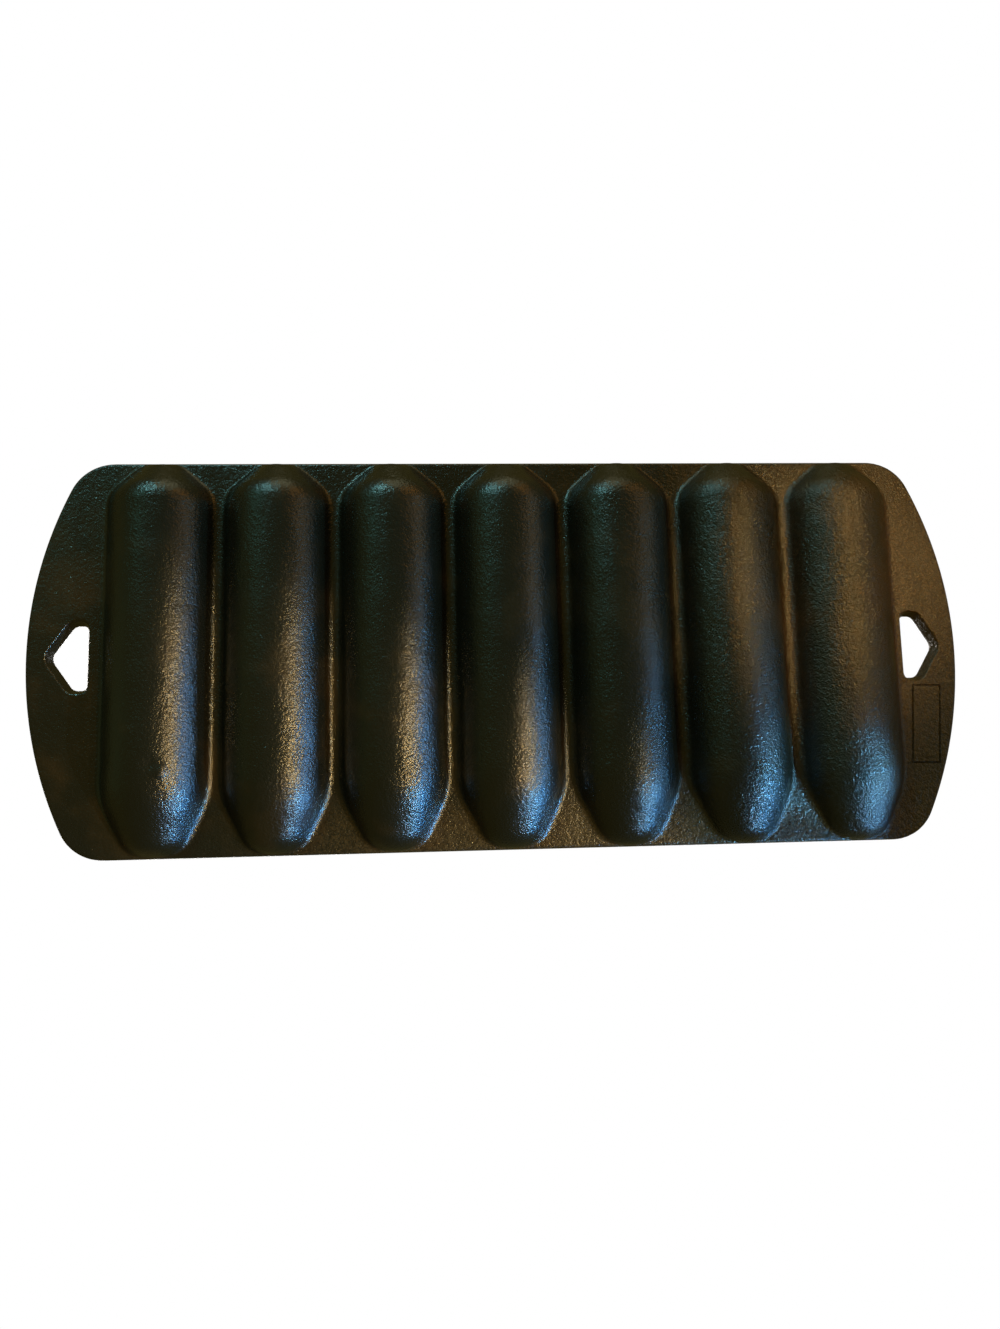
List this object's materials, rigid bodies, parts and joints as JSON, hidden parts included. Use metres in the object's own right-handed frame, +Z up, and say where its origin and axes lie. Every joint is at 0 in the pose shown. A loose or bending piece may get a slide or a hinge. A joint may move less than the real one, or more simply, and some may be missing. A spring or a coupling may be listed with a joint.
{
  "type": "corn stick pan",
  "caption": "Oblong cast iron baking pan with a row of ear-shaped moulds with kernel hollows and a bowed, holed handle at each end.",
  "frame": {"origin": "under the middle of the pan, level with the crowns of the lobes that it stands on", "axes": "+Z up out of the moulds, X along the pan from handle to handle, +Y towards the tapered tips of the ears"},
  "size_m": [0.361, 0.1516, 0.0204],
  "materials": {
    "seasoned_iron": "black-brown seasoned cast iron, semi-gloss, with a fine sand-cast grain"
  },
  "bodies": {
    "root": {"corn_mould_1": "seasoned_iron", "corn_mould_2": "seasoned_iron", "corn_mould_3": "seasoned_iron", "corn_mould_4": "seasoned_iron", "corn_mould_5": "seasoned_iron", "corn_mould_6": "seasoned_iron", "corn_mould_7": "seasoned_iron", "left_handle": "seasoned_iron", "right_handle": "seasoned_iron"}
  },
  "joints": []
}
